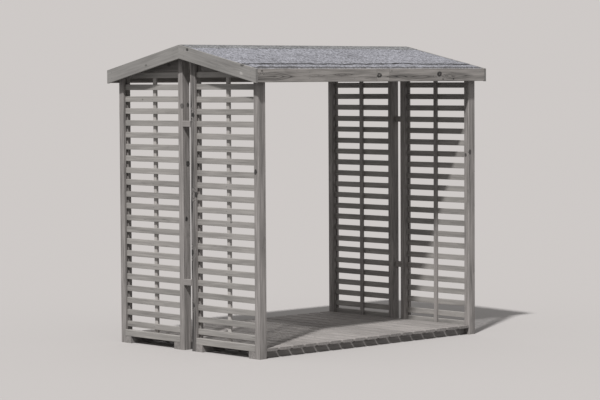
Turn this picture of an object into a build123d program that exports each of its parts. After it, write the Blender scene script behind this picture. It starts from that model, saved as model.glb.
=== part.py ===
from build123d import *

import math
import os

# Log store: two slatted bays, back to back, under one pitched felt roof.
# Both long sides are open. The ends are panels of level slats between posts.
# Frame: +X along the ridge, -Y towards the front, +Z up. The origin is on the
# ground under the middle of the ridge. Sizes are in millimetres.

# Driving dimensions

# The plan, over the outer faces of the posts
plan_length = 2000.0
plan_depth = 1380.0
bay_gap = 76.0

# Posts
post_thick = 63.0  # along X
post_width = 44.0  # along Y
post_arris = 3.0

# End panels: slats housed in a groove down each post, and nailed to a batten midway
slat_setback = 20.0
slat_thick = 16.0
slat_height = 37.0
slat_gap = 42.0  # clear height between slats
lowest_slat_middle = 127.5
slat_arris = 2.0
groove_depth = 8.0
groove_play = 1.0  # left at the bottom of the groove
batten_thick = 16.0
batten_width = 27.0
infill_lift = 3.0  # between the top slat and the raked board over it
infill_notch = 48.0  # left open beside two of the inner posts
rail_height = 42.0

# Spacer blocks that join the bays, level with one low slat and one high one
spacer_thick = 38.0
spacer_height = 39.0
slats_past_spacer = 4  # below the lower block, and above the upper one

# Floor
bearer_width = 58.0
bearer_height = 46.0
floor_board_thick = 18.0
floor_board_width = 99.0
floor_least_gap = 11.0
floor_arris = 2.0

# Roof
eaves_height = 1736.0  # ground to the underside of the fascia
roof_rise = 159.0  # top of the fascia to the felt at the ridge, without its cap
fascia_height = 84.0
fascia_thick = 18.0
bargeboard_height = 87.0  # measured plumb
bargeboard_thick = 18.0
end_overhang = 61.0  # posts to the outer face of the bargeboards
eaves_overhang = 48.0  # posts to the outer face of the fascia
deck_thick = 16.0
felt_thick = 3.0
cap_reach = 110.0  # ridge cap, down each slope
ridge_beam_drop = 84.0  # felt at the ridge to the underside of the beam
purlin_lift = 8.0  # underside of the eaves purlin above that of the fascia
trim_arris = 2.0

# Worked out from them

half_length = plan_length / 2
half_depth = plan_depth / 2
half_gap = bay_gap / 2
roof_half_length = half_length + end_overhang
roof_half_depth = half_depth + eaves_overhang
deck_half_length = roof_half_length - bargeboard_thick
deck_half_depth = roof_half_depth - fascia_thick
ridge_height = eaves_height + fascia_height + roof_rise
fall = roof_rise / roof_half_depth
rake = math.atan(fall)

bay_inside = half_gap + post_width  # where the open width of a bay begins, from the ridge line
bay_outside = half_depth - post_width  # and where it ends
housed_inside = bay_inside - groove_depth + groove_play
housed_outside = bay_outside + groove_depth - groove_play
slat_outer_x = half_length - slat_setback
slat_inner_x = slat_outer_x - slat_thick
slat_middle_x = (slat_outer_x + slat_inner_x) / 2
slat_pitch = slat_height + slat_gap
post_inner_x = half_length - post_thick

ENDS = {"left": -1, "right": 1}
BAYS = {"front": -1, "back": 1}


def plumb(thickness):
    """The height that a layer takes when it lies on the rake."""
    return thickness / math.cos(rake)


def felt_top(y):
    return ridge_height - abs(y) * fall


def deck_top(y):
    return felt_top(y) - plumb(felt_thick)


def deck_underside(y):
    return deck_top(y) - plumb(deck_thick)


# As many slats as fit under the roof at the outer posts
slat_room = deck_underside(bay_outside) - slat_height / 2 - lowest_slat_middle
slat_count = int(slat_room // slat_pitch) + 1
top_slat_middle = lowest_slat_middle + (slat_count - 1) * slat_pitch


def low(side, near, far):
    """The lower end of a stretch from near to far on one side of the middle."""
    return min(side * near, side * far)


def write(piece, label):
    piece.part.label = label
    export_step(piece.part, f"parts/{label}.step")


def raked_outline(y_near, y_far, bottom, top):
    """Corners of a face across the store, flat below and cut to the rake above."""
    return (y_near, bottom), (y_far, bottom), (y_far, top(y_far)), (y_near, top(y_near))


def sloping_outline(y_near, y_far, top, depth):
    """Corners of a face across the store whose top and bottom both follow the rake."""
    bottom_near = top(y_near) - depth
    bottom_far = top(y_far) - depth
    return (y_near, bottom_near), (y_far, bottom_far), (y_far, top(y_far)), (y_near, top(y_near))


def post(end, bay, y_near, y_far, groove_near):
    x_low = low(end, post_inner_x, half_length)
    groove_middle = groove_near + groove_depth / 2
    with BuildPart() as piece:
        with BuildSketch(Plane.YZ.offset(x_low)):
            Polygon(*raked_outline(bay * y_near, bay * y_far, 0, deck_underside), align=None)
        extrude(amount=post_thick)
        chamfer(piece.edges().filter_by(Axis.Z), length=post_arris)
        with BuildSketch():
            with Locations((end * slat_middle_x, bay * groove_middle)):
                Rectangle(slat_thick, groove_depth)
        extrude(amount=ridge_height, mode=Mode.SUBTRACT)
    return piece


def panel_slats(end, bay):
    length = housed_outside - housed_inside
    y_high = low(bay, housed_inside, housed_outside) + length
    middle_z = (lowest_slat_middle + top_slat_middle) / 2
    with BuildPart() as piece:
        with BuildSketch(Plane.XZ.offset(-y_high)) as section:
            with Locations((end * slat_middle_x, middle_z)):
                with GridLocations(0, slat_pitch, 1, slat_count):
                    Rectangle(slat_thick, slat_height)
            chamfer(section.vertices(), length=slat_arris)
        extrude(amount=length)
    return piece


def panel_infill(end, bay, y_near):
    x_low = low(end, slat_inner_x, slat_outer_x)
    with BuildPart() as piece:
        with BuildSketch(Plane.YZ.offset(x_low)):
            corners = raked_outline(
                bay * y_near,
                bay * housed_outside,
                top_slat_middle + slat_height / 2 + infill_lift,
                deck_underside,
            )
            Polygon(*corners, align=None)
        extrude(amount=slat_thick)
    return piece


def panel_batten(end, bay):
    x_low = low(end, slat_inner_x - batten_thick, slat_inner_x)
    y_near = (bay_inside + bay_outside - batten_width) / 2
    y_far = y_near + batten_width
    with BuildPart() as piece:
        with BuildSketch(Plane.YZ.offset(x_low)):
            corners = raked_outline(bay * y_near, bay * y_far, bearer_height, deck_underside)
            Polygon(*corners, align=None)
        extrude(amount=batten_thick)
    return piece


def bottom_rail(end, bay):
    y_high = low(bay, bay_inside, bay_outside) + bay_outside - bay_inside
    with BuildPart() as piece:
        with BuildSketch(Plane.XZ.offset(-y_high)) as section:
            with Locations(
                (end * (half_length + slat_inner_x) / 2, bearer_height + rail_height / 2)
            ):
                Rectangle(half_length - slat_inner_x, rail_height)
            chamfer(section.vertices(), length=slat_arris)
        extrude(amount=bay_outside - bay_inside)
    return piece


def bay_spacers(end):
    middle_x = end * (half_length - spacer_thick / 2)
    inward = slats_past_spacer * slat_pitch
    with BuildPart() as piece:
        with BuildSketch(Plane.XZ.offset(-half_gap)) as section:
            with Locations(
                (middle_x, lowest_slat_middle + inward), (middle_x, top_slat_middle - inward)
            ):
                Rectangle(spacer_thick, spacer_height)
            chamfer(section.vertices(), length=slat_arris)
        extrude(amount=bay_gap)
    return piece


def bearer(bay, y_near):
    with BuildPart() as piece:
        with BuildSketch(Plane.YZ.offset(-half_length)) as section:
            with Locations((bay * (y_near + bearer_width / 2), bearer_height / 2)):
                Rectangle(bearer_width, bearer_height)
            chamfer(section.vertices(), length=slat_arris)
        extrude(amount=plan_length)
    return piece


def floor():
    room = 2 * post_inner_x
    count = int((room + floor_least_gap) // (floor_board_width + floor_least_gap))
    pitch = (room - floor_board_width) / (count - 1)
    with BuildPart() as piece:
        with BuildSketch(Plane.XZ.offset(-half_depth)) as section:
            with Locations((0, bearer_height + floor_board_thick / 2)):
                with GridLocations(pitch, 0, count, 1):
                    Rectangle(floor_board_width, floor_board_thick)
            chamfer(section.vertices(), length=floor_arris)
        extrude(amount=plan_depth)
    return piece


def ridge_beam():
    bottom = ridge_height - ridge_beam_drop
    with BuildPart() as piece:
        with BuildSketch(Plane.YZ.offset(-deck_half_length)):
            Polygon(
                (-half_gap, bottom),
                (half_gap, bottom),
                (half_gap, deck_underside(half_gap)),
                (0, deck_underside(0)),
                (-half_gap, deck_underside(half_gap)),
                align=None,
            )
        extrude(amount=2 * deck_half_length)
    return piece


def eaves_purlin(bay):
    with BuildPart() as piece:
        with BuildSketch(Plane.YZ.offset(-deck_half_length)):
            corners = raked_outline(
                bay * half_depth,
                bay * deck_half_depth,
                eaves_height + purlin_lift,
                deck_underside,
            )
            Polygon(*corners, align=None)
        extrude(amount=2 * deck_half_length)
    return piece


def roof_layer(bay, top, thickness):
    """One slope of boarding or of felt, between the fascia and the bargeboards."""
    with BuildPart() as piece:
        with BuildSketch(Plane.YZ.offset(-deck_half_length)):
            corners = sloping_outline(0, bay * deck_half_depth, top, plumb(thickness))
            Polygon(*corners, align=None)
        extrude(amount=2 * deck_half_length)
    return piece


def ridge_cap():
    reach = cap_reach * math.cos(rake)
    rise = plumb(felt_thick)
    with BuildPart() as piece:
        with BuildSketch(Plane.YZ.offset(-deck_half_length)):
            Polygon(
                (-reach, felt_top(reach)),
                (0, felt_top(0)),
                (reach, felt_top(reach)),
                (reach, felt_top(reach) + rise),
                (0, felt_top(0) + rise),
                (-reach, felt_top(reach) + rise),
                align=None,
            )
        extrude(amount=2 * deck_half_length)
    return piece


def fascia(bay):
    with BuildPart() as piece:
        with BuildSketch(Plane.YZ.offset(-deck_half_length)) as section:
            with Locations(
                (bay * (roof_half_depth - fascia_thick / 2), eaves_height + fascia_height / 2)
            ):
                Rectangle(fascia_thick, fascia_height)
            chamfer(section.vertices(), length=trim_arris)
        extrude(amount=2 * deck_half_length)
    return piece


def bargeboard(end, bay):
    x_low = low(end, deck_half_length, roof_half_length)
    with BuildPart() as piece:
        with BuildSketch(Plane.YZ.offset(x_low)):
            corners = sloping_outline(0, bay * roof_half_depth, felt_top, bargeboard_height)
            Polygon(*corners, align=None)
        extrude(amount=bargeboard_thick)
    return piece


os.makedirs("parts", exist_ok=True)

for end_name, end in ENDS.items():
    write(bay_spacers(end), f"spacers_{end_name}")
    for bay_name, bay in BAYS.items():
        place = f"{end_name}_{bay_name}"
        # The two panels with a notch are the same hand, turned end for end
        infill_near = bay_inside + infill_notch if end == bay else housed_inside
        write(post(end, bay, bay_outside, half_depth, bay_outside), f"post_{place}_outer")
        write(
            post(end, bay, half_gap, bay_inside, bay_inside - groove_depth), f"post_{place}_inner"
        )
        write(panel_slats(end, bay), f"slats_{place}")
        write(panel_infill(end, bay, infill_near), f"infill_{place}")
        write(panel_batten(end, bay), f"batten_{place}")
        write(bottom_rail(end, bay), f"rail_{place}")
        write(bargeboard(end, bay), f"bargeboard_{place}")

for bay_name, bay in BAYS.items():
    write(bearer(bay, bay_outside - bearer_width), f"bearer_{bay_name}_outer")
    write(bearer(bay, bay_inside), f"bearer_{bay_name}_inner")
    write(eaves_purlin(bay), f"eaves_purlin_{bay_name}")
    write(roof_layer(bay, deck_top, deck_thick), f"roof_boards_{bay_name}")
    write(roof_layer(bay, felt_top, felt_thick), f"roof_felt_{bay_name}")
    write(fascia(bay), f"fascia_{bay_name}")

write(floor(), "floor_boards")
write(ridge_beam(), "ridge_beam")
write(ridge_cap(), "ridge_cap")
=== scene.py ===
import math

import bpy
from mathutils import Euler, Matrix, Vector, noise


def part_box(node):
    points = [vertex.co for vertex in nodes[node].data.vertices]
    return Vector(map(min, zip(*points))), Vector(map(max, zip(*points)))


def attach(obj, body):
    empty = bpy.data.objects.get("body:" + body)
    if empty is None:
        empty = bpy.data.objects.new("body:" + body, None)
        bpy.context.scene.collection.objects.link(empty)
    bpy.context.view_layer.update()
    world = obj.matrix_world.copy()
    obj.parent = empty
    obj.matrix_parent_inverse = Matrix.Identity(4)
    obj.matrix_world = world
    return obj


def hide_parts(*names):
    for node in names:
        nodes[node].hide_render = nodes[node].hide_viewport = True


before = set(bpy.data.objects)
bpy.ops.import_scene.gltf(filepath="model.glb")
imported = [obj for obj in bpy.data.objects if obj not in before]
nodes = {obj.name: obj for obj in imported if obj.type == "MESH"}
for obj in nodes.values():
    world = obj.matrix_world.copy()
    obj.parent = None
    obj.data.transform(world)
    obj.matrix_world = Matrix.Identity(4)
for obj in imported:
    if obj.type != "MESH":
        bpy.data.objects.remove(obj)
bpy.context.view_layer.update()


# Posts
# Eight planed spruce posts with eased arrises, in pairs either side of the gap
# between the bays. They were dipped in a grey glaze that dries matt and lets the
# latewood and the knots show. The arrises are paler, partly from wear and partly as
# a painted highlight.

def hex_colour(text):
    """An sRGB hex colour as the linear values that a shader takes."""
    shares = [int(text[i:i + 2], 16) / 255 for i in (1, 3, 5)]
    linear = [s / 12.92 if s <= 0.04045 else ((s + 0.055) / 1.055) ** 2.4 for s in shares]
    return linear + [1.0]


def add(tree, kind, links=None, **settings):
    """One node with its settings. Each link gives an input a value or another node's output."""
    node = tree.nodes.new(kind)
    for name, value in settings.items():
        setattr(node, name, value)
    for name, source in (links or {}).items():
        if isinstance(source, bpy.types.Node):
            source = source.outputs[0]
        if isinstance(source, bpy.types.NodeSocket):
            tree.links.new(source, node.inputs[name])
        else:
            node.inputs[name].default_value = source
    return node


def drawn_out(tree, place, scale, detail, roughness=0.5):
    """Noise whose grains are drawn out along the timber, by grains per metre each way."""
    squeezed = add(tree, "ShaderNodeVectorMath", {0: place, 1: scale}, operation="MULTIPLY")
    return add(tree, "ShaderNodeTexNoise", {
        "Vector": squeezed,
        "Scale": 1.0,
        "Detail": detail,
        "Roughness": roughness,
    })


def new_material(name):
    """A material of this name, its tree and its surface shader."""
    material = bpy.data.materials.new(name)
    material.use_nodes = True
    return material, material.node_tree, material.node_tree.nodes["Principled BSDF"]


def glazed_spruce(name, turn, colour, figure=0.5, knots=(), flames=(), joints=()):
    """Spruce under a grey glaze, with latewood lines, knots, fine cracks and end grain.

    turn is the Euler turn that brings the grain onto X, and figure is how strongly the
    grain shows. Places are in metres in the row frame: knots are (place, radius,
    how dark, how pale the heart), flames are (place, reach back, reach ahead, half
    breadth, how dark) of nested rings on a flat-sawn face, which run out to a point
    each way, and joints are how far along the grain a finger joint lies.
    """
    material, tree, surface = new_material(name)
    turn = Euler(turn)

    # A board of a row brings its own stretch of grain and its own tone
    where = add(tree, "ShaderNodeTexCoord")
    along = add(tree, "ShaderNodeMapping", {"Vector": where.outputs["Object"], "Rotation": turn})
    shift = add(tree, "ShaderNodeAttribute", attribute_name="board_shift")
    place = add(tree, "ShaderNodeVectorMath", {0: along, 1: shift.outputs["Vector"]})
    tone = add(tree, "ShaderNodeAttribute", attribute_name="board_tone").outputs["Fac"]
    swirl = add(tree, "ShaderNodeValue")
    eyes = add(tree, "ShaderNodeValue")
    flare = add(tree, "ShaderNodeValue")
    for socket in (swirl, eyes, flare):
        socket.outputs[0].default_value = 0.0

    # Finger joints: fingers 10 mm long and 4.4 mm apart, and other timber past the joint
    finger_half = 0.0022
    finger_slope = 4.5
    glue_half = 0.0022
    glue_dark = 0.34
    other_timber = (3.7, 1.9, 2.3)
    other_tone = 1.2
    apart = add(tree, "ShaderNodeSeparateXYZ", {0: along})
    finger = add(tree, "ShaderNodeMath", {
        0: apart.outputs["Z"], 1: finger_half,
    }, operation="PINGPONG")
    length = add(tree, "ShaderNodeMath", {
        0: finger, 1: finger_slope, 2: apart.outputs["X"],
    }, operation="MULTIPLY_ADD")
    for joint in joints:
        past = add(tree, "ShaderNodeMath", {0: length, 1: joint}, operation="GREATER_THAN")
        jump = add(tree, "ShaderNodeVectorMath", {
            0: other_timber, "Scale": past,
        }, operation="SCALE")
        place = add(tree, "ShaderNodeVectorMath", {0: place, 1: jump})
        change = add(tree, "ShaderNodeMath", {0: past, 1: other_tone}, operation="MULTIPLY")
        tone = add(tree, "ShaderNodeMath", {0: change, 1: tone}, operation="SUBTRACT")
        glue = add(tree, "ShaderNodeMath", {0: length, 1: joint, 2: glue_half}, operation="COMPARE")
        eyes = add(tree, "ShaderNodeMath", {
            0: glue, 1: glue_dark, 2: eyes,
        }, operation="MULTIPLY_ADD")

    # Knots aren't quite round, so the places that they are worked out from are stirred
    stir_reach = 0.016
    uneven = drawn_out(tree, along, (60.0, 90.0, 90.0), 2.0, 0.6)
    uneven = add(tree, "ShaderNodeVectorMath", {
        0: uneven.outputs["Color"], 1: (0.5, 0.5, 0.5),
    }, operation="SUBTRACT")
    uneven = add(tree, "ShaderNodeVectorMath", {0: uneven, "Scale": stir_reach}, operation="SCALE")
    stirred = add(tree, "ShaderNodeVectorMath", {0: along, 1: uneven})

    # The knots that show in one place, a little longer along the grain than across it,
    # and the flames. The grain bends round both
    knot_squeeze = 0.7
    heart_share = 0.36
    flame_taper = 1.4
    for centre, radius, dark, heart in knots:
        centre = Vector(centre)
        centre.rotate(turn)
        offset = add(tree, "ShaderNodeVectorMath", {0: stirred, 1: centre}, operation="SUBTRACT")
        scaled = add(tree, "ShaderNodeVectorMath", {
            0: offset, 1: (knot_squeeze / radius, 1 / radius, 1 / radius),
        }, operation="MULTIPLY")
        away = add(tree, "ShaderNodeVectorMath", {0: scaled}, operation="LENGTH").outputs["Value"]
        bend = add(tree, "ShaderNodeMapRange", {
            "Value": away, "From Min": 0.6, "From Max": 4.0, "To Min": 2.4, "To Max": 0.0,
        }, interpolation_type="SMOOTHSTEP")
        swirl = add(tree, "ShaderNodeMath", {0: swirl, 1: bend})
        eye = add(tree, "ShaderNodeMapRange", {
            "Value": away, "From Min": 0.9, "From Max": 1.35, "To Min": dark, "To Max": 0.0,
        }, interpolation_type="SMOOTHSTEP")
        paler = add(tree, "ShaderNodeMath", {0: away, 1: 0.0, 2: heart_share}, operation="COMPARE")
        core = add(tree, "ShaderNodeMath", {0: paler, 1: -heart, 2: 1.0}, operation="MULTIPLY_ADD")
        eyes = add(tree, "ShaderNodeMath", {0: eye, 1: core, 2: eyes}, operation="MULTIPLY_ADD")
    for centre, reach_back, reach_ahead, breadth, dark in flames:
        centre = Vector(centre)
        centre.rotate(turn)
        offset = add(tree, "ShaderNodeVectorMath", {0: along, 1: centre}, operation="SUBTRACT")
        aside = add(tree, "ShaderNodeVectorMath", {
            0: offset, 1: (0.0, 1 / breadth, 1 / breadth),
        }, operation="MULTIPLY")
        aside = add(tree, "ShaderNodeVectorMath", {0: aside}, operation="LENGTH").outputs["Value"]
        aside = add(tree, "ShaderNodeMath", {0: aside, 1: flame_taper}, operation="POWER")
        offset = add(tree, "ShaderNodeSeparateXYZ", {0: offset})
        back = add(tree, "ShaderNodeMath", {0: offset, 1: -1 / reach_back}, operation="MULTIPLY")
        ahead = add(tree, "ShaderNodeMath", {0: offset, 1: 1 / reach_ahead}, operation="MULTIPLY")
        away = add(tree, "ShaderNodeMath", {0: back, 1: ahead}, operation="MAXIMUM")
        away = add(tree, "ShaderNodeMath", {0: away, 1: aside}, operation="ADD")
        bend = add(tree, "ShaderNodeMapRange", {
            "Value": away, "From Min": 0.0, "From Max": 1.0, "To Min": 2.4, "To Max": 0.0,
        })
        swirl = add(tree, "ShaderNodeMath", {0: swirl, 1: bend})
        shade = add(tree, "ShaderNodeMapRange", {
            "Value": away, "From Min": 0.85, "From Max": 1.1, "To Min": dark, "To Max": 0.0,
        }, interpolation_type="SMOOTHSTEP")
        flare = add(tree, "ShaderNodeMath", {0: flare, 1: shade}, operation="MAXIMUM")

    # Knots anywhere: one cell in three holds one, of a radius up to 11 mm
    cell_size = (0.40, 0.085, 0.085)
    largest_knot = 0.011
    least_radius = 0.00001
    in_cells = add(tree, "ShaderNodeVectorMath", {0: place, 1: uneven})
    in_cells = add(tree, "ShaderNodeVectorMath", {0: in_cells, 1: cell_size}, operation="DIVIDE")
    cell = add(tree, "ShaderNodeTexVoronoi", {"Vector": in_cells, "Scale": 1.0, "Randomness": 1.0})
    chance = add(tree, "ShaderNodeSeparateColor", {"Color": cell.outputs["Color"]})
    offset = add(tree, "ShaderNodeVectorMath", {
        0: in_cells, 1: cell.outputs["Position"],
    }, operation="SUBTRACT")
    offset = add(tree, "ShaderNodeVectorMath", {0: offset, 1: cell_size}, operation="MULTIPLY")
    away = add(tree, "ShaderNodeVectorMath", {0: offset}, operation="LENGTH").outputs["Value"]
    radius = add(tree, "ShaderNodeMapRange", {
        "Value": chance.outputs["Red"],
        "From Min": 0.64, "From Max": 1.0, "To Min": 0.0, "To Max": largest_knot,
    })
    radius = add(tree, "ShaderNodeMath", {0: radius, 1: least_radius}, operation="MAXIMUM")
    away = add(tree, "ShaderNodeMath", {0: away, 1: radius}, operation="DIVIDE")
    bend = add(tree, "ShaderNodeMapRange", {
        "Value": away, "From Min": 0.6, "From Max": 4.0, "To Min": 1.6, "To Max": 0.0,
    }, interpolation_type="SMOOTHSTEP")
    swirl = add(tree, "ShaderNodeMath", {0: swirl, 1: bend})
    eye = add(tree, "ShaderNodeMapRange", {
        "Value": away, "From Min": 0.8, "From Max": 1.25, "To Min": 0.6, "To Max": 0.0,
    }, interpolation_type="SMOOTHSTEP")
    eyes = add(tree, "ShaderNodeMath", {0: eyes, 1: eye})

    # Growth rings: contour lines of a slow noise, about 8 mm apart on a flat-sawn face and
    # wider in a flame. Each one darkens slowly up to its latewood and ends sharply
    most_rings = 24.0
    fewest_rings = 5.0
    lost_in_flame = 60.0
    late_rise = 2.5
    late_drop = 7.0
    slow = drawn_out(tree, place, (0.9, 10.0, 10.0), 2.0, 0.35)
    spread = add(tree, "ShaderNodeMath", {
        0: flare, 1: -lost_in_flame, 2: most_rings,
    }, operation="MULTIPLY_ADD")
    spread = add(tree, "ShaderNodeMath", {0: spread, 1: fewest_rings}, operation="MAXIMUM")
    rings = add(tree, "ShaderNodeMath", {0: slow, 1: spread, 2: swirl}, operation="MULTIPLY_ADD")
    ring = add(tree, "ShaderNodeMath", {0: rings}, operation="FRACT")
    rise = add(tree, "ShaderNodeMath", {0: ring, 1: late_rise}, operation="POWER")
    drop = add(tree, "ShaderNodeMath", {
        0: ring, 1: -late_drop, 2: late_drop,
    }, operation="MULTIPLY_ADD")
    late = add(tree, "ShaderNodeMath", {0: rise, 1: drop}, operation="MINIMUM")

    # The lines show in patches, and strongest in a flame
    flame_lines = 8.0
    strongest_lines = 2.6
    patch = drawn_out(tree, place, (1.4, 7.0, 7.0), 1.0)
    shown = add(tree, "ShaderNodeMapRange", {
        "Value": patch, "From Min": 0.40, "From Max": 0.62, "To Min": 0.25, "To Max": 1.0,
    }, interpolation_type="SMOOTHSTEP")
    shown = add(tree, "ShaderNodeMath", {
        0: flare, 1: flame_lines, 2: shown,
    }, operation="MULTIPLY_ADD")
    shown = add(tree, "ShaderNodeMath", {0: shown, 1: strongest_lines}, operation="MINIMUM")
    lines = add(tree, "ShaderNodeMath", {0: late, 1: shown}, operation="MULTIPLY")

    # Fibre 4 mm broad, streaks of 12 mm, clouds where the glaze took unevenly, and cracks
    fibre = drawn_out(tree, place, (9.0, 260.0, 260.0), 3.0, 0.6)
    streak = drawn_out(tree, place, (3.5, 80.0, 80.0), 2.0, 0.6)
    cloud = drawn_out(tree, place, (3.0, 14.0, 14.0), 3.0)
    split = drawn_out(tree, place, (1.1, 42.0, 42.0), 1.0)
    split = add(tree, "ShaderNodeMath", {0: split, 1: 0.5}, operation="SUBTRACT")
    split = add(tree, "ShaderNodeMath", {0: split}, operation="ABSOLUTE")
    split = add(tree, "ShaderNodeMapRange", {
        "Value": split, "From Min": 0.002, "From Max": 0.008, "To Min": 1.0, "To Max": 0.0,
    })
    dry = drawn_out(tree, place, (2.3, 5.0, 5.0), 0.0)
    dry = add(tree, "ShaderNodeMapRange", {
        "Value": dry, "From Min": 0.60, "From Max": 0.68, "To Min": 0.0, "To Max": 1.0,
    })
    cracks = add(tree, "ShaderNodeMath", {0: split, 1: dry}, operation="MULTIPLY")

    # Where a face turns: the sawn ends take more glaze, and the arrises are paler,
    # partly from wear and partly as a painted highlight
    facing = add(tree, "ShaderNodeMapping", {
        "Vector": where.outputs["Normal"], "Rotation": turn,
    }, vector_type="NORMAL")
    facing = add(tree, "ShaderNodeSeparateXYZ", {0: facing})
    sawn = add(tree, "ShaderNodeMath", {0: facing.outputs["X"]}, operation="ABSOLUTE")
    sawn = add(tree, "ShaderNodeMapRange", {
        "Value": sawn, "From Min": 0.6, "From Max": 0.9, "To Min": 0.0, "To Max": 0.12,
    })
    arris = add(tree, "ShaderNodeMath", {
        0: facing.outputs["Y"], 1: facing.outputs["Z"],
    }, operation="MULTIPLY")
    arris = add(tree, "ShaderNodeMath", {0: arris}, operation="ABSOLUTE")
    arris = add(tree, "ShaderNodeMapRange", {
        "Value": arris, "From Min": 0.25, "From Max": 0.40, "To Min": 0.0, "To Max": -0.10,
    })

    # How dark the glaze is, from all of these. The noises swing about a half, so half
    # of their weights is given back, and even the darkest knot stays above black
    darkest = 0.08
    noises = (
        (fibre, 0.30 + 0.30 * figure),
        (streak, 0.35 + 1.10 * figure),
        (cloud, 0.40 + 0.30 * figure),
    )
    middle = 1.04 + sum(weight for part, weight in noises) / 2
    depth = add(tree, "ShaderNodeMath", {
        0: lines, 1: figure * 0.3, 2: eyes,
    }, operation="MULTIPLY_ADD")
    for part, weight in noises + (
        (tone, 0.11), (flare, 0.4), (cracks, 0.40), (sawn, 1.0), (arris, 1.0),
    ):
        depth = add(tree, "ShaderNodeMath", {
            0: part, 1: weight, 2: depth,
        }, operation="MULTIPLY_ADD")
    shade = add(tree, "ShaderNodeMath", {0: middle, 1: depth}, operation="SUBTRACT")
    shade = add(tree, "ShaderNodeMath", {0: shade, 1: darkest}, operation="MAXIMUM")
    base = hex_colour(colour)
    tint = add(tree, "ShaderNodeVectorMath", {0: base[:3], "Scale": shade}, operation="SCALE")
    tree.links.new(tint.outputs[0], surface.inputs["Base Color"])

    # The glaze dries matt, and the latewood and the cracks lie a little below the face
    rough = add(tree, "ShaderNodeMath", {0: fibre, 1: 0.16, 2: 0.62}, operation="MULTIPLY_ADD")
    tree.links.new(rough.outputs[0], surface.inputs["Roughness"])
    surface.inputs["IOR"].default_value = 1.5
    sunk = add(tree, "ShaderNodeMath", {0: late, 1: -0.4, 2: fibre}, operation="MULTIPLY_ADD")
    sunk = add(tree, "ShaderNodeMath", {0: cracks, 1: -1.5, 2: sunk}, operation="MULTIPLY_ADD")
    bump = add(tree, "ShaderNodeBump", {"Height": sunk, "Strength": 0.5, "Distance": 0.0006})
    tree.links.new(bump.outputs[0], surface.inputs["Normal"])
    return material


def finish_nodes(start, material):
    """Give every solid whose name starts so this material."""
    for name, node in nodes.items():
        if name.startswith(start):
            node.data.materials.clear()
            node.data.materials.append(material)


grain_up = (0.0, math.pi / 2, 0.0)
post_knots = [
    ((-1.0, -0.663, 1.177), 0.011, 0.80, 0.1),
    ((-0.956, 0.038, 1.209), 0.012, 1.00, 0.2),
    ((-0.952, 0.038, 1.590), 0.009, 0.90, 0.0),
    ((-1.0, 0.044, 1.586), 0.011, 0.75, 0.3),
    ((-0.973, 0.038, 0.853), 0.010, 0.95, 0.0),
    ((0.951, -0.690, 1.251), 0.011, 0.80, 0.1),
    ((0.937, -0.662, 1.230), 0.009, 0.70, 0.0),
]
finish_nodes("post_", glazed_spruce("glazed_spruce_posts", grain_up, "#87827F", 1.1, post_knots))

# One inner post is cut beside the heart, which left a dark, knotty streak up its face
heart_knots = [
    ((-1.0, -0.067, 1.528), 0.010, 0.80, 0.1),
    ((-0.990, -0.082, 1.014), 0.011, 0.85, 0.1),
    ((-1.0, -0.052, 0.640), 0.011, 0.75, 0.2),
    ((-1.0, -0.060, 0.300), 0.009, 0.70, 0.0),
]
heart_streak = [((-1.01, -0.050, 1.0), 40.0, 40.0, 0.034, 0.80)]
finish_nodes("post_left_front_inner", glazed_spruce(
    "glazed_spruce_heart_post", grain_up, "#87827F", 1.1, heart_knots, heart_streak))


# Bearers and floor
# Four bearers lie on the ground along the store, between the posts, and the
# floor boards are nailed across them with gaps so that air rises through the floor.

grain_along = (0.0, 0.0, 0.0)
grain_across = (0.0, 0.0, -math.pi / 2)
finish_nodes("bearer_", glazed_spruce("glazed_spruce_bearers", grain_along, "#8A8582"))
glazed_floor = glazed_spruce("glazed_spruce_floor", grain_across, "#8A8582")

# The boards of a row lie along X. Each has its own tone, its own stretch of grain,
# and a little play in its place, as boards laid by hand have.
boards = bpy.data.node_groups.new("row_of_boards", "GeometryNodeTree")
for socket, kind in (
    ("Count", "Int"), ("Step", "Vector"),
    ("Length", "Float"), ("Breadth", "Float"), ("Height", "Float"), ("Arris", "Float"),
    ("Play", "Vector"), ("Twist", "Vector"), ("Seed", "Int"), ("Finish", "Material"),
):
    boards.interface.new_socket(socket, in_out="INPUT", socket_type="NodeSocket" + kind)
boards.interface.new_socket("Row", in_out="OUTPUT", socket_type="NodeSocketGeometry")
given = add(boards, "NodeGroupInput").outputs
spots = add(boards, "GeometryNodeMeshLine", {"Count": given["Count"], "Offset": given["Step"]})
less = add(boards, "ShaderNodeVectorMath", {0: given["Play"], "Scale": -1.0}, operation="SCALE")
nudge = add(boards, "FunctionNodeRandomValue", {
    0: less, 1: given["Play"], "Seed": given["Seed"],
}, data_type="FLOAT_VECTOR")
spots = add(boards, "GeometryNodeSetPosition", {"Geometry": spots, "Offset": nudge})
section = add(boards, "GeometryNodeCurvePrimitiveQuadrilateral", {
    "Width": given["Breadth"], "Height": given["Height"],
})
section = add(boards, "GeometryNodeFilletCurve", {
    "Curve": section, "Count": 3, "Radius": given["Arris"],
}, mode="POLY")
half = add(boards, "ShaderNodeMath", {0: given["Length"], 1: 0.5}, operation="MULTIPLY")
other_half = add(boards, "ShaderNodeMath", {0: given["Length"], 1: -0.5}, operation="MULTIPLY")
first_end = add(boards, "ShaderNodeCombineXYZ", {"X": other_half})
last_end = add(boards, "ShaderNodeCombineXYZ", {"X": half})
run = add(boards, "GeometryNodeCurvePrimitiveLine", {"Start": first_end, "End": last_end})
board = add(boards, "GeometryNodeCurveToMesh", {
    "Curve": run, "Profile Curve": section, "Fill Caps": True,
})
board = add(boards, "GeometryNodeSetShadeSmooth", {"Geometry": board, "Shade Smooth": False})
less = add(boards, "ShaderNodeVectorMath", {0: given["Twist"], "Scale": -1.0}, operation="SCALE")
reseeded = add(boards, "FunctionNodeIntegerMath", {0: given["Seed"], 1: 1}, operation="ADD")
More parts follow.
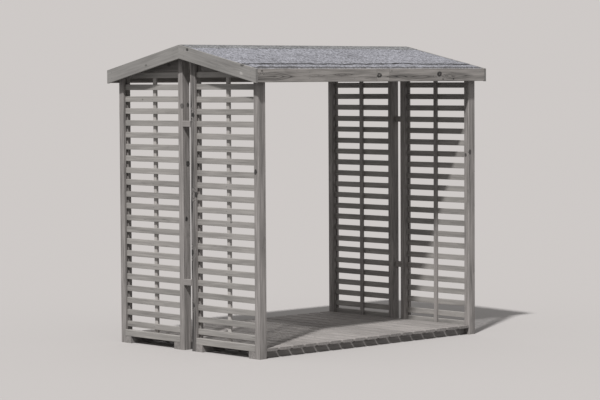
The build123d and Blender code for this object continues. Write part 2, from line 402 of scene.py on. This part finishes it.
twist = add(boards, "FunctionNodeRandomValue", {
    0: less, 1: given["Twist"], "Seed": reseeded,
}, data_type="FLOAT_VECTOR")
row = add(boards, "GeometryNodeInstanceOnPoints", {
    "Points": spots, "Instance": board, "Rotation": twist,
})
reseeded = add(boards, "FunctionNodeIntegerMath", {0: given["Seed"], 1: 2}, operation="ADD")
tones = add(boards, "FunctionNodeRandomValue", {
    2: -1.0, 3: 1.0, "Seed": reseeded,
}, data_type="FLOAT")
row = add(boards, "GeometryNodeStoreNamedAttribute", {
    "Geometry": row, "Name": "board_tone", "Value": tones.outputs[1],
}, data_type="FLOAT", domain="INSTANCE")
reseeded = add(boards, "FunctionNodeIntegerMath", {0: given["Seed"], 1: 3}, operation="ADD")
shifts = add(boards, "FunctionNodeRandomValue", {
    0: (-20.0, -20.0, -20.0), 1: (20.0, 20.0, 20.0), "Seed": reseeded,
}, data_type="FLOAT_VECTOR")
row = add(boards, "GeometryNodeStoreNamedAttribute", {
    "Geometry": row, "Name": "board_shift", "Value": shifts,
}, data_type="FLOAT_VECTOR", domain="INSTANCE")
row = add(boards, "GeometryNodeRealizeInstances", {"Geometry": row})
row = add(boards, "GeometryNodeSetMaterial", {"Geometry": row, "Material": given["Finish"]})
add(boards, "NodeGroupOutput", {0: row})

# Nail heads: one on every point handed in, driven to slightly different depths
nail_heads = bpy.data.node_groups.new("nail_heads", "GeometryNodeTree")
for socket, kind in (
    ("Points", "Geometry"), ("Facing", "Vector"), ("Radius", "Float"), ("Proud", "Float"),
    ("Seed", "Int"), ("Finish", "Material"),
):
    nail_heads.interface.new_socket(socket, in_out="INPUT", socket_type="NodeSocket" + kind)
nail_heads.interface.new_socket("Heads", in_out="OUTPUT", socket_type="NodeSocketGeometry")
given = add(nail_heads, "NodeGroupInput").outputs
rim = add(nail_heads, "ShaderNodeMath", {0: given["Radius"], 1: 0.75}, operation="MULTIPLY")
head = add(nail_heads, "GeometryNodeMeshCone", {
    "Vertices": 12, "Radius Top": rim, "Radius Bottom": given["Radius"], "Depth": given["Proud"],
})
upright = add(nail_heads, "FunctionNodeAlignRotationToVector", {
    "Vector": given["Facing"],
}, axis="Z")
sunk = add(nail_heads, "FunctionNodeRandomValue", {
    2: -0.5, 3: 0.0, "Seed": given["Seed"],
}, data_type="FLOAT")
sunk = add(nail_heads, "ShaderNodeMath", {
    0: sunk.outputs[1], 1: given["Proud"],
}, operation="MULTIPLY")
inward = add(nail_heads, "ShaderNodeVectorMath", {
    0: given["Facing"], "Scale": sunk,
}, operation="SCALE")
spots = add(nail_heads, "GeometryNodeSetPosition", {"Geometry": given["Points"], "Offset": inward})
heads = add(nail_heads, "GeometryNodeInstanceOnPoints", {
    "Points": spots, "Instance": head, "Rotation": upright,
})
heads = add(nail_heads, "GeometryNodeRealizeInstances", {"Geometry": heads})
heads = add(nail_heads, "GeometryNodeSetMaterial", {"Geometry": heads, "Material": given["Finish"]})
add(nail_heads, "NodeGroupOutput", {0: heads})


def made(name, tree, values, place=Matrix(), points=()):
    """What a tree makes with these values, as a plain mesh put in its place."""
    start = bpy.data.meshes.new(name + "_points")
    start.from_pydata(points, [], [])
    maker = bpy.data.objects.new(name + "_maker", start)
    modifier = maker.modifiers.new("making", "NODES")
    modifier.node_group = tree
    for socket in tree.interface.items_tree:
        if socket.in_out == "INPUT" and socket.name in values:
            modifier[socket.identifier] = values[socket.name]
    bpy.context.scene.collection.objects.link(maker)
    shown = maker.evaluated_get(bpy.context.evaluated_depsgraph_get())
    mesh = bpy.data.meshes.new_from_object(shown)
    maker.modifiers.remove(modifier)
    bpy.data.objects.remove(maker)
    mesh.transform(place)
    piece = bpy.data.objects.new(name, mesh)
    bpy.context.scene.collection.objects.link(piece)
    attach(piece, "root")
    return piece


def lying(origin, along, beside):
    """The place of a row whose boards run one way and whose breadth goes the other."""
    turned = Matrix((along, beside, along.cross(beside))).transposed()
    return Matrix.Translation(origin) @ turned.to_4x4()


backward = Vector((0.0, 1.0, 0.0))
leftward = Vector((-1.0, 0.0, 0.0))

# The boards were sawn 99 mm broad and shrank as they dried, so that the sun shines
# between them and draws slanting stripes on the bearer below
floor_low, floor_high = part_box("floor_boards")
floor_sawn = 0.099
floor_breadth = 0.093
floor_end_play = 0.004
floor_count = 17
floor_step = (floor_high.x - floor_low.x - floor_sawn) / (floor_count - 1)
laid_floor = made("laid_floor_boards", boards, {
    "Count": floor_count,
    "Step": (0.0, -floor_step, 0.0),
    "Length": floor_high.y - floor_low.y - floor_end_play,
    "Breadth": floor_breadth,
    "Height": floor_high.z - floor_low.z,
    "Arris": 0.0045,
    "Play": (0.0018, 0.0008, 0.0),
    "Twist": (0.0, 0.0, 0.0010),
    "Seed": 11,
    "Finish": glazed_floor,
}, lying(
    Vector((floor_low.x + floor_sawn / 2, 0.0, (floor_low.z + floor_high.z) / 2)),
    backward, leftward,
))
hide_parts("floor_boards")

# Galvanised nails: dull grey zinc over steel, that gives broken, soft glints
zinc, tree, surface = new_material("galvanised_steel")
surface.inputs["Metallic"].default_value = 1.0
where = add(tree, "ShaderNodeTexCoord")
spangle = add(tree, "ShaderNodeTexNoise", {"Vector": where.outputs["Object"], "Scale": 900.0})
dull = add(tree, "ShaderNodeMapRange", {"Value": spangle, "To Min": 0.45, "To Max": 0.75})
tree.links.new(dull.outputs[0], surface.inputs["Roughness"])
zinc_colour = add(tree, "ShaderNodeMix", {
    0: spangle, 6: hex_colour("#6E7072"), 7: hex_colour("#9A9C9D"),
}, data_type="RGBA")
tree.links.new(zinc_colour.outputs[2], surface.inputs["Base Color"])

# Two nails hold each board on each bearer, 54 mm apart
nail_beside = 0.027
floor_nails = []
for bearer in ("front_outer", "front_inner", "back_inner", "back_outer"):
    bearer_low, bearer_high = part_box("bearer_" + bearer)
    for board_number in range(floor_count):
        middle = floor_low.x + floor_sawn / 2 + board_number * floor_step
        for beside in (-nail_beside, nail_beside):
            floor_nails.append((middle + beside, (bearer_low.y + bearer_high.y) / 2, floor_high.z))
made("floor_nails", nail_heads, {
    "Facing": (0.0, 0.0, 1.0), "Radius": 0.0035, "Proud": 0.0008, "Seed": 3, "Finish": zinc,
}, points=floor_nails)


# End panels
# Level slats, their ends housed in a groove down each post, and nailed to an
# upright batten midway. A board cut to the rake closes the space over the top
# slat, and a rail under the lowest one stands flush with the posts.

glazed_slats = glazed_spruce("glazed_spruce_slats", grain_across, "#8E8A86")
# The infill boards are given a darker colour than the slats: painted shade for the shadow that the
# bargeboards cast over them
infill_knots = [((-0.980, 0.193, 1.850), 0.010, 0.40, 0.0)]
finish_nodes("infill_", glazed_spruce(
    "shade_darkened_spruce_infill", grain_across, "#6D6966", knots=infill_knots))
finish_nodes("rail_", glazed_spruce("glazed_spruce_rails", grain_across, "#8E8A86"))
finish_nodes("spacers_", glazed_spruce("glazed_spruce_spacers", grain_across, "#8A8582"))
finish_nodes("batten_right_", glazed_spruce("glazed_spruce_battens", grain_up, "#8A8582"))

# The battens at the sunny end are given a paler colour: a painted highlight for the sun
# that falls on them between the slats
finish_nodes("batten_left_", glazed_spruce("painted_sunlit_spruce_battens", grain_up, "#A8A39F"))

slat_height = 0.037
slat_pitch = 0.079
panel_seed = 20
for end in ("left", "right"):
    outward = -1.0 if end == "left" else 1.0
    slat_nails = []
    for bay in ("front", "back"):
        slats_node = f"slats_{end}_{bay}"
        low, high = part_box(slats_node)
        slat_count = round((high.z - low.z - slat_height) / slat_pitch) + 1
        hung_slats = made(f"housed_{slats_node}", boards, {
            "Count": slat_count,
            "Step": (0.0, 0.0, slat_pitch),
            "Length": high.y - low.y,
            "Breadth": high.x - low.x,
            "Height": slat_height,
            "Arris": 0.002,
            "Play": (0.0, 0.0, 0.0014),
            "Twist": (0.0, 0.0025, 0.0),
            "Seed": panel_seed,
            "Finish": glazed_slats,
        }, lying(
            Vector(((low.x + high.x) / 2, (low.y + high.y) / 2, low.z + slat_height / 2)),
            backward, leftward,
        ))
        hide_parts(slats_node)
        panel_seed += 10
        outer_x = low.x if end == "left" else high.x
        batten_low, batten_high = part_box(f"batten_{end}_{bay}")
        for slat_number in range(slat_count):
            nail_z = low.z + slat_height / 2 + slat_number * slat_pitch
            slat_nails.append((outer_x, (batten_low.y + batten_high.y) / 2, nail_z))
    made(f"slat_nails_{end}", nail_heads, {
        "Facing": (outward, 0.0, 0.0), "Radius": 0.003, "Proud": 0.0007,
        "Seed": panel_seed, "Finish": zinc,
    }, points=slat_nails)


# Roof timbers
# A ridge beam between the inner posts, and a purlin against the outer ones, carry the
# roof boards, which run down each slope side by side and show their joints below. All
# were left as sawn, and all are given a darker colour: painted shade for the deep
# shadow under the roof.

shade_darkened_beams = glazed_spruce("shade_darkened_spruce_beams", grain_along, "#74706C")
finish_nodes("ridge_beam", shade_darkened_beams)
finish_nodes("eaves_purlin_", shade_darkened_beams)

roof_low, roof_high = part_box("roof_boards_front")
felt_low, felt_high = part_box("roof_felt_front")
barge_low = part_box("bargeboard_left_front")[0]
roof_rise = 0.159
rake = math.atan2(roof_rise, -barge_low.y)
slopes = {"front": -1.0, "back": 1.0}
grain_down = {bay: (side * rake, 0.0, -math.pi / 2) for bay, side in slopes.items()}

roof_seeds = {"front": 70, "back": 80}
roof_count = 23
roof_breadth = (roof_high.x - roof_low.x) / roof_count
roof_joint = 0.0008
deck_thick = 0.016
ridge_gap = deck_thick * math.sin(rake)
roof_length = (roof_high.y - roof_low.y - ridge_gap) / math.cos(rake)
for bay, side in slopes.items():
    down = Vector((0.0, side * math.cos(rake), -math.sin(rake)))
    across = Vector((-side, 0.0, 0.0))
    upward = down.cross(across)
    top_end = Vector((0.0, side * ridge_gap, roof_high.z - ridge_gap * math.tan(rake)))
    first = top_end + down * roof_length / 2 - upward * deck_thick / 2
    first -= across * (roof_high.x - roof_low.x - roof_breadth) / 2
    # The roof boards take the same darker colour, painted shade under the roof
    laid_roof = made(f"laid_roof_boards_{bay}", boards, {
        "Count": roof_count,
        "Step": (0.0, roof_breadth, 0.0),
        "Length": roof_length,
        "Breadth": roof_breadth - roof_joint,
        "Height": deck_thick,
        "Arris": 0.0028,
        "Play": (0.0, 0.0, 0.0),
        "Twist": (0.0, 0.0, 0.0),
        "Seed": roof_seeds[bay],
        "Finish": glazed_spruce(f"shade_darkened_spruce_roof_{bay}", grain_down[bay], "#74706C"),
    }, lying(first, down, across))
    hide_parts(f"roof_boards_{bay}")


# Fascias and bargeboards
# Planed boards of the same spruce cover the ends of the roof boards. The front
# fascia is finger-jointed near its middle. The bargeboards meet plumb at the
# ridge and lap the ends of the fascias, and each board is screwed on.

fascia_knots = [
    ((-1.008, -0.738, 1.806), 0.007, 0.80, 0.0),
    ((0.026, -0.738, 1.776), 0.014, 1.10, 0.5),
    ((0.598, -0.738, 1.785), 0.014, 1.10, 0.5),
    ((0.632, -0.738, 1.749), 0.006, 0.65, 0.0),
    ((0.735, -0.738, 1.750), 0.005, 0.65, 0.0),
]
fascia_flames = [
    ((-0.90, -0.738, 1.772), 0.60, 0.18, 0.028, 0.40),
    ((-0.56, -0.738, 1.776), 0.10, 0.12, 0.012, 0.25),
    ((-0.32, -0.738, 1.782), 0.08, 0.12, 0.012, 0.25),
    ((0.30, -0.738, 1.767), 0.22, 0.30, 0.020, 0.65),
    ((0.72, -0.738, 1.771), 0.12, 0.26, 0.024, 0.65),
]
fascia_joints = (0.008, 0.125)
finish_nodes("fascia_", glazed_spruce(
    "glazed_spruce_fascia", grain_along, "#918C88", 1.0,
    fascia_knots, fascia_flames, fascia_joints))
barge_knots = [
    ((-1.061, -0.086, 1.948), 0.0075, 0.85, 0.0),
    ((-1.061, -0.604, 1.792), 0.009, -0.60, 0.0),
    ((-1.061, -0.611, 1.846), 0.010, 0.70, 0.3),
    ((-1.061, 0.330, 1.850), 0.007, 0.50, 0.2),
    ((1.061, 0.420, 1.840), 0.009, 0.60, 0.2),
    ((1.061, -0.250, 1.885), 0.008, 0.60, 0.2),
]
barge_flames = [((-1.061, -0.42, 1.846), 0.18, 0.18, 0.026, 0.16)]
for bay in slopes:
    glazed_barge = glazed_spruce(
        f"glazed_spruce_bargeboards_{bay}", grain_down[bay], "#83807D", 0.4,
        barge_knots, barge_flames)
    for end in ("left", "right"):
        finish_nodes(f"bargeboard_{end}_{bay}", glazed_barge)

# Pairs of screws at the ends and the middle of each bargeboard
barge_screw_reaches = (0.05, 0.37, 0.69)
barge_screw_drops = (0.024, 0.063)
for end, outward in (("left", -1.0), ("right", 1.0)):
    barge_screws = []
    for side in slopes.values():
        for reach in barge_screw_reaches:
            felt_line = felt_high.z - reach * math.tan(rake)
            for drop in barge_screw_drops:
                barge_screws.append((outward * abs(barge_low.x), side * reach, felt_line - drop))
    made(f"bargeboard_screws_{end}", nail_heads, {
        "Facing": (outward, 0.0, 0.0), "Radius": 0.0035, "Proud": 0.0003,
        "Seed": 5, "Finish": zinc,
    }, points=barge_screws)

# Pairs of screws along each fascia
fascia_screw_pairs = 6
fascia_screw_pitch = 0.4
fascia_screw_heights = (0.022, 0.062)
for bay, side in slopes.items():
    fascia_low, fascia_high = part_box(f"fascia_{bay}")
    fascia_face = fascia_low.y if side < 0 else fascia_high.y
    fascia_screws = []
    for pair_number in range(fascia_screw_pairs):
        screw_x = (pair_number - (fascia_screw_pairs - 1) / 2) * fascia_screw_pitch
        for height in fascia_screw_heights:
            fascia_screws.append((screw_x, fascia_face, fascia_low.z + height))
    made(f"fascia_screws_{bay}", nail_heads, {
        "Facing": (0.0, side, 0.0), "Radius": 0.0035, "Proud": 0.0003,
        "Seed": 6, "Finish": zinc,
    }, points=fascia_screws)


# Felt
# Bitumen felt faced with crushed slate. A starter strip runs along the eaves,
# the main sheet laps over it with a hand-cut edge, and a strip caps the ridge.
# It was nailed down cold, so it lies in slight waves, and is dressed down at the eaves.

def slate_felt(name, colour):
    """Slate-faced felt: matt, speckled grit, and black where it is marked, for bare bitumen and for
    painted shade on the ridge strip's bend.
    """
    material, tree, surface = new_material(name)
    place = add(tree, "ShaderNodeTexCoord").outputs["Object"]

    # The grit is about a millimetre across. It is drawn at three to twenty, so that it shows
    grit = add(tree, "ShaderNodeTexNoise", {
        "Vector": place, "Scale": 300.0, "Detail": 2.0, "Roughness": 0.7,
    })
    clump = drawn_out(tree, place, (90.0, 50.0, 50.0), 2.0, 0.9)
    worn = drawn_out(tree, place, (1.6, 9.0, 9.0), 3.0)
    washed = drawn_out(tree, place, (9.0, 2.0, 2.0), 2.0)
    shade = add(tree, "ShaderNodeMath", {0: grit, 1: 0.9, 2: 0.60}, operation="MULTIPLY_ADD")
    for part, weight in ((clump, 5.5), (worn, 0.50), (washed, 0.20)):
        part = add(tree, "ShaderNodeMath", {0: part, 1: 0.5}, operation="SUBTRACT")
        shade = add(tree, "ShaderNodeMath", {
            0: part, 1: weight, 2: shade,
        }, operation="MULTIPLY_ADD")

    # Dark lines of painted shade along the ripples, for their sides that turn from the
    # light. They run down the slope on the left and turn level towards the right
    ripples = 11.0
    down = drawn_out(tree, place, (4.2, 1.1, 1.1), 2.0)
    level = drawn_out(tree, place, (1.1, 4.2, 4.2), 2.0)
    apart = add(tree, "ShaderNodeSeparateXYZ", {0: place})
    turning = add(tree, "ShaderNodeMapRange", {
        "Value": apart.outputs["X"],
        "From Min": 0.05, "From Max": 0.50, "To Min": 0.0, "To Max": 1.0,
    }, interpolation_type="SMOOTHSTEP")
    ripple_shade = add(tree, "ShaderNodeMix", {0: turning, 2: down, 3: level}, data_type="FLOAT")
    ripple_shade = add(tree, "ShaderNodeMath", {0: ripple_shade, 1: ripples}, operation="MULTIPLY")
    ripple_shade = add(tree, "ShaderNodeMath", {0: ripple_shade, 1: 1.0}, operation="PINGPONG")
    ripple_shade = add(tree, "ShaderNodeMapRange", {
        "Value": ripple_shade, "From Min": 0.05, "From Max": 0.35, "To Min": 1.0, "To Max": 0.0,
    })
    patch = drawn_out(tree, place, (4.0, 4.0, 4.0), 2.0, 0.6)
    patch = add(tree, "ShaderNodeMapRange", {
        "Value": patch, "From Min": 0.40, "From Max": 0.64, "To Min": 0.0, "To Max": 0.42,
    })
    ripple_shade = add(tree, "ShaderNodeMath", {0: ripple_shade, 1: patch}, operation="MULTIPLY")
    shade = add(tree, "ShaderNodeMath", {0: shade, 1: ripple_shade}, operation="SUBTRACT")
    darkest = 0.35
    shade = add(tree, "ShaderNodeMath", {0: shade, 1: darkest}, operation="MAXIMUM")
    base = hex_colour(colour)
    slate = add(tree, "ShaderNodeVectorMath", {0: base[:3], "Scale": shade}, operation="SCALE")

    # Black, smoother and in patches where the sheet is marked: bare bitumen along the lap,
    # the fold and the cut edge, painted shade on the bend of the ridge strip, and a dark
    # band along the eaves
    bare_and_shade = add(tree, "ShaderNodeAttribute", attribute_name="bare_and_shade").outputs["Fac"]
    patchy = add(tree, "ShaderNodeMath", {0: grit, 1: 0.8, 2: bare_and_shade}, operation="MULTIPLY_ADD")
    bare_and_shade = add(tree, "ShaderNodeMapRange", {
        "Value": patchy, "From Min": 0.75, "From Max": 1.05, "To Min": 0.0, "To Max": 1.0,
    })
    mixed = add(tree, "ShaderNodeMix", {
        0: bare_and_shade, 6: slate, 7: hex_colour("#232325"),
    }, data_type="RGBA")
    tree.links.new(mixed.outputs[2], surface.inputs["Base Color"])
    rough = add(tree, "ShaderNodeMapRange", {"Value": bare_and_shade, "To Min": 0.92, "To Max": 0.55})
    tree.links.new(rough.outputs[0], surface.inputs["Roughness"])
    surface.inputs["IOR"].default_value = 1.55
    bump = add(tree, "ShaderNodeBump", {"Height": grit, "Strength": 0.6, "Distance": 0.0008})
    tree.links.new(bump.outputs[0], surface.inputs["Normal"])
    return material


felt_thick = 0.003
felt_slack = 0.0002
felt_half = felt_high.x
felt_end = (felt_high.y - felt_low.y) / math.cos(rake)
cap_reach = 0.110

# The main sheet was cut by hand 614 mm down the slope, with one bite in its edge
cut_reach = 0.614
bite_place = 0.40
bite_half = 0.09
bite_depth = 0.034

# The felt lies flat at the gables and the eaves, and is free to wave inside these
gable_hold = (1.043, 0.98)
eaves_hold = (0.738, 0.70)

# Creases run from one place to another, along the ridge and down the slope, and
# have a height and a half breadth
creases = [
    ((0.10, 0.13), (0.34, 0.40), 0.0030, 0.020),
    ((-0.72, 0.10), (-0.30, 0.17), 0.0024, 0.018),
    ((-0.20, 0.20), (0.55, 0.17), 0.0018, 0.022),
    ((0.35, 0.42), (0.95, 0.50), 0.0020, 0.022),
    ((-0.95, 0.42), (-0.45, 0.38), 0.0014, 0.025),
    ((0.62, 0.30), (0.98, 0.24), 0.0016, 0.020),
]


def eased(value, start, end):
    """0 before the start, 1 past the end, smooth between."""
    share = min(max((value - start) / (end - start), 0.0), 1.0)
    return share * share * (3 - 2 * share)


def cut_edge(x, side):
    """How far down the slope the hand-cut edge of the main sheet lies."""
    wander = 0.011 * noise.noise(Vector((x * 2.6, 4.0 * side, 0.0)))
    wander += 0.013 * noise.noise(Vector((x * 9.0, 9.0 * side, 2.0)))
    wander += 0.006 * noise.noise(Vector((x * 23.0, 7.0 * side, 4.0)))
    return cut_reach + wander - bite_depth * math.exp(-((x - bite_place) / bite_half) ** 2)


def waves(x, reach, side):
    """How far the felt stands off the boards, for its waves and creases."""
    if side > 0:
        x = -x
    height = 0.0012 + 0.0020 * noise.noise(Vector((x * 1.5 + reach, reach * 9.0, 3.0 * side)))
    height += 0.0008 * noise.noise(Vector((x * 5.0, reach * 24.0, 7.0 * side)))
    for (x_from, reach_from), (x_to, reach_to), crest, spread in creases:
        span = Vector((x_to - x_from, reach_to - reach_from))
        offset = Vector((x - x_from, reach - reach_from))
        share = min(max(offset.dot(span) / span.length_squared, 0.0), 1.0)
        away = (offset - span * share).length
        height += crest * math.sin(math.pi * share) ** 0.5 * math.exp(-(away / spread) ** 2)
    free = eased(abs(x), *gable_hold) * eased(reach, *eaves_hold)
    return max(height, 0.0) * free


def on_slope(x, reach, off, side):
    """A place on the felt: along the ridge, down the slope and off it."""
    return (
        x,
        side * (reach * math.cos(rake) + off * math.sin(rake)),
        felt_high.z - reach * math.sin(rake) + off * math.cos(rake),
    )


def sheet(name, rows, columns, place_at, parts=1):
    """A felt sheet, or several, as grids of points 3 mm thick, each with its mark of bare bitumen
    and painted shade.
    """
    points = []
    bare_and_shade = []
    faces = []
    for part in range(parts):
        first = len(points)
        for row_number in range(rows + 1):
            for column in range(columns + 1):
                point, mark = place_at(part, row_number / rows, column / columns)
                points.append(point)
                bare_and_shade.append(mark)
        for row_number in range(rows):
            for column in range(columns):
                corner = first + row_number * (columns + 1) + column
                faces.append((corner, corner + 1, corner + columns + 2, corner + columns + 1))
    mesh = bpy.data.meshes.new(name)
    mesh.from_pydata(points, [], faces)
    mesh.attributes.new("bare_and_shade", "FLOAT", "POINT").data.foreach_set("value", bare_and_shade)
    mesh.polygons.foreach_set("use_smooth", [True] * len(faces))
    if mesh.polygons[0].normal.z < 0:
        mesh.flip_normals()
    piece = bpy.data.objects.new(name, mesh)
    bpy.context.scene.collection.objects.link(piece)
    thickness = piece.modifiers.new("thickness", "SOLIDIFY")
    thickness.thickness = felt_thick - felt_slack
    thickness.offset = -1.0
    thickness.use_even_offset = True
    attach(piece, "root")
    return piece


slate_sheet = slate_felt("slate_faced_felt", "#7B7B81")
slate_cap = slate_felt("slate_faced_felt_cap", "#747475")

# The main sheet starts just below the ridge and climbs onto the starter strip
sheet_start = 0.004
climb_start = 0.53
climb_end = 0.565
strip_start = 0.57
strip_end = felt_end - 0.002
row_crowding = 1.3
for bay, side in slopes.items():
    def sheet_or_strip(part, down_share, along_share):
        """Part 0 is the main sheet, part 1 the strip that shows past its cut edge."""
        x = (along_share * 2 - 1) * felt_half
        edge = cut_edge(x, side)
        if part == 0:
            # The rows of points lie closer together towards the cut edge
            share = 1 - (1 - down_share) ** row_crowding
            reach = sheet_start + (edge - sheet_start) * share
            over = felt_thick * eased(reach, climb_start, climb_end)
            buckle = 0.0022 * max(noise.noise(Vector((x * 4.0, 5.0 * side, 8.0))), 0.0)
            off = waves(x, reach, side) + over + buckle * eased(reach, edge - 0.05, edge)
            # Grit is gone along a fold near the edge, and on the edge itself
            fold = edge - 0.050 + 0.014 * noise.noise(Vector((x * 6.0, side, 5.0)))
            fold_mark = 0.9 * max(noise.noise(Vector((x * 5.0, side, 6.0))) + 0.25, 0.0)
            fold_mark *= math.exp(-((reach - fold) / 0.009) ** 2)
            edge_mark = 0.7 * eased(reach, edge - 0.007, edge - 0.002)
            return on_slope(x, reach, off, side), max(fold_mark, edge_mark)
        # Bitumen was spilt along the lap, and a dark band runs along the eaves just above where
        # the felt turns down
        reach = strip_start + (strip_end - strip_start) * down_share
        spill = 0.022 * noise.noise(Vector((x * 14.0, side, 1.0)))
        spill += 0.012 * noise.noise(Vector((x * 37.0, side, 9.0)))
        lap_mark = 1.0 - eased(reach, edge + 0.008 + spill, edge + 0.018 + spill)
        eaves_band_edge = felt_end - 0.038 + spill
        eaves_band_mark = 0.8 * eased(reach, eaves_band_edge - 0.004, eaves_band_edge + 0.004)
        eaves_band_mark *= eased(reach, felt_end - 0.007, felt_end - 0.010)
        dressed = 0.0028 * eased(reach, felt_end - 0.008, felt_end - 0.002)
        off = waves(x, reach, side) - dressed
        return on_slope(x, reach, off, side), max(lap_mark, eaves_band_mark)

    felt_piece = sheet(
        f"laid_felt_{bay}", rows=60, columns=150, place_at=sheet_or_strip, parts=2)
    felt_piece.data.materials.append(slate_sheet)
    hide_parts(f"roof_felt_{bay}")


cap_sunk = 0.0012
bend_radius = 0.012
bend_reach = 0.05


def cap_place(part, across_share, along_share):
    """The ridge strip is bent without a sharp fold, and is marked darkest on the ridge, a painted
    shade for the bend.
    """
    x = (along_share * 2 - 1) * felt_half
    wander = 0.003 * noise.noise(Vector((x * 3.0, 12.0, across_share)))
    signed = (across_share * 2 - 1) * (cap_reach + wander)
    side = -1.0 if signed < 0 else 1.0
    reach = abs(signed)
    off = felt_thick + waves(x, reach, side) * eased(reach, 0.0, bend_reach)
    rounded = math.hypot(signed, bend_radius) - bend_radius * math.exp(-reach / bend_reach)
    height = on_slope(x, rounded, off, side)[2] - cap_sunk
    # The mark is strongest on the ridge and fades down each side: painted shade on the bend
    return (x, signed * math.cos(rake), height), 0.45 - 0.12 * reach / cap_reach


ridge_strip = sheet("laid_ridge_felt", rows=24, columns=110, place_at=cap_place)
ridge_strip.data.materials.append(slate_cap)
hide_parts("ridge_cap")

# Clout nails hold the cut edge of each sheet and both edges of the ridge strip
clout_count = 20
clout_pitch = 0.106
sheet_inset = 0.022
cap_inset = 0.02
for bay, side in slopes.items():
    clouts = []
    for clout_number in range(clout_count):
        clout_x = (clout_number - (clout_count - 1) / 2) * clout_pitch
        clout_reach = cut_edge(clout_x, side) - sheet_inset
        off = waves(clout_x, clout_reach, side) + felt_thick
        clouts.append(on_slope(clout_x, clout_reach, off, side))
        clout_reach = cap_reach - cap_inset
        off = waves(clout_x, clout_reach, side) + felt_thick - cap_sunk
        clouts.append(on_slope(clout_x, clout_reach, off, side))
    made(f"clout_nails_{bay}", nail_heads, {
        "Facing": (0.0, side * math.sin(rake), math.cos(rake)), "Radius": 0.005, "Proud": 0.0009,
        "Seed": 9, "Finish": zinc,
    }, points=clouts)


# Floor and light
# A plain pale floor without an edge, a soft sun from the upper left and an
# even sky, as in a studio with one large lamp.

sun_strength = 3.8
sky_strength = 0.45
towards_sun = Vector((-0.685, -0.375, 1.0)).normalized()
studio_half = 200.0
studio_shown = hex_colour("#B1ADAB")
studio_bounce = hex_colour("#767676")

floor_mesh = bpy.data.meshes.new("studio_floor")
floor_corners = [
    (x * studio_half, y * studio_half, 0.0) for x, y in ((-1, -1), (1, -1), (1, 1), (-1, 1))
]
floor_mesh.from_pydata(floor_corners, [], [(0, 1, 2, 3)])
studio_floor = bpy.data.objects.new("studio_floor", floor_mesh)
bpy.context.scene.collection.objects.link(studio_floor)


def seen_by_eye(tree):
    """1 where the camera looks, also by way of metal or glass, and 0 for the light that bounces."""
    path = add(tree, "ShaderNodeLightPath")
    seen = add(tree, "ShaderNodeMath", {
        0: path.outputs["Is Camera Ray"], 1: path.outputs["Is Glossy Ray"],
    }, operation="MAXIMUM")
    return add(tree, "ShaderNodeMath", {
        0: seen, 1: path.outputs["Is Transmission Ray"],
    }, operation="MAXIMUM")


# Rolled matt paint without a gleam. It throws back less light than its pale look
# says, so that the underside and the inside stay in their own shade
floor_paint = bpy.data.materials.new("matt_pale_paint")
floor_paint.use_nodes = True
tree = floor_paint.node_tree
tree.nodes.clear()
dim = add(tree, "ShaderNodeBsdfDiffuse", {"Color": studio_bounce})
pale = add(tree, "ShaderNodeBsdfDiffuse", {"Color": studio_shown})
mixed = add(tree, "ShaderNodeMixShader", {0: seen_by_eye(tree), 1: dim, 2: pale})
add(tree, "ShaderNodeOutputMaterial", {"Surface": mixed})
floor_mesh.materials.append(floor_paint)

# The backdrop is as bright as the lit floor, so that no horizon shows
backdrop_strength = sun_strength * towards_sun.z / math.pi + sky_strength
world = bpy.data.worlds.new("studio")
world.use_nodes = True
tree = world.node_tree
tree.nodes.clear()
sky = add(tree, "ShaderNodeBackground", {
    "Color": hex_colour("#FFFFFF"), "Strength": sky_strength,
})
shown = add(tree, "ShaderNodeBackground", {
    "Color": studio_shown, "Strength": backdrop_strength,
})
mixed = add(tree, "ShaderNodeMixShader", {0: seen_by_eye(tree), 1: sky, 2: shown})
add(tree, "ShaderNodeOutputWorld", {"Surface": mixed})
bpy.context.scene.world = world

sun_lamp = bpy.data.lights.new("soft_sun", "SUN")
sun_lamp.energy = sun_strength
sun_lamp.angle = math.radians(3.0)
sun = bpy.data.objects.new("soft_sun", sun_lamp)
sun.rotation_mode = "QUATERNION"
sun.rotation_quaternion = towards_sun.to_track_quat("Z", "Y")
bpy.context.scene.collection.objects.link(sun)


# Camera
# Stands well off the near corner at eye height with a long lens, level with
# the eaves, as the photograph was taken.

image_width = 600.0
sensor_width = 36.0
focal_pixels = 2238.7
yaw = math.radians(43.248)
pitch = math.radians(3.067)
roll = math.radians(-0.3245)
eye_place = Vector((-10.36785, -11.02563, 1.7487))

forward = Vector((
    math.cos(pitch) * math.sin(yaw),
    math.cos(pitch) * math.cos(yaw),
    -math.sin(pitch),
))
level = Vector((math.cos(yaw), -math.sin(yaw), 0.0))
upward = level.cross(forward)
right = math.cos(roll) * level + math.sin(roll) * upward
top = -math.sin(roll) * level + math.cos(roll) * upward

lens = bpy.data.cameras.new("camera")
lens.sensor_width = sensor_width
lens.lens = focal_pixels * sensor_width / image_width
lens.clip_end = 500.0
camera = bpy.data.objects.new("camera", lens)
turned = Matrix((right, top, -forward)).transposed().to_4x4()
camera.matrix_world = Matrix.Translation(eye_place) @ turned
bpy.context.scene.collection.objects.link(camera)
bpy.context.scene.camera = camera
bpy.context.scene.view_settings.view_transform = "Standard"
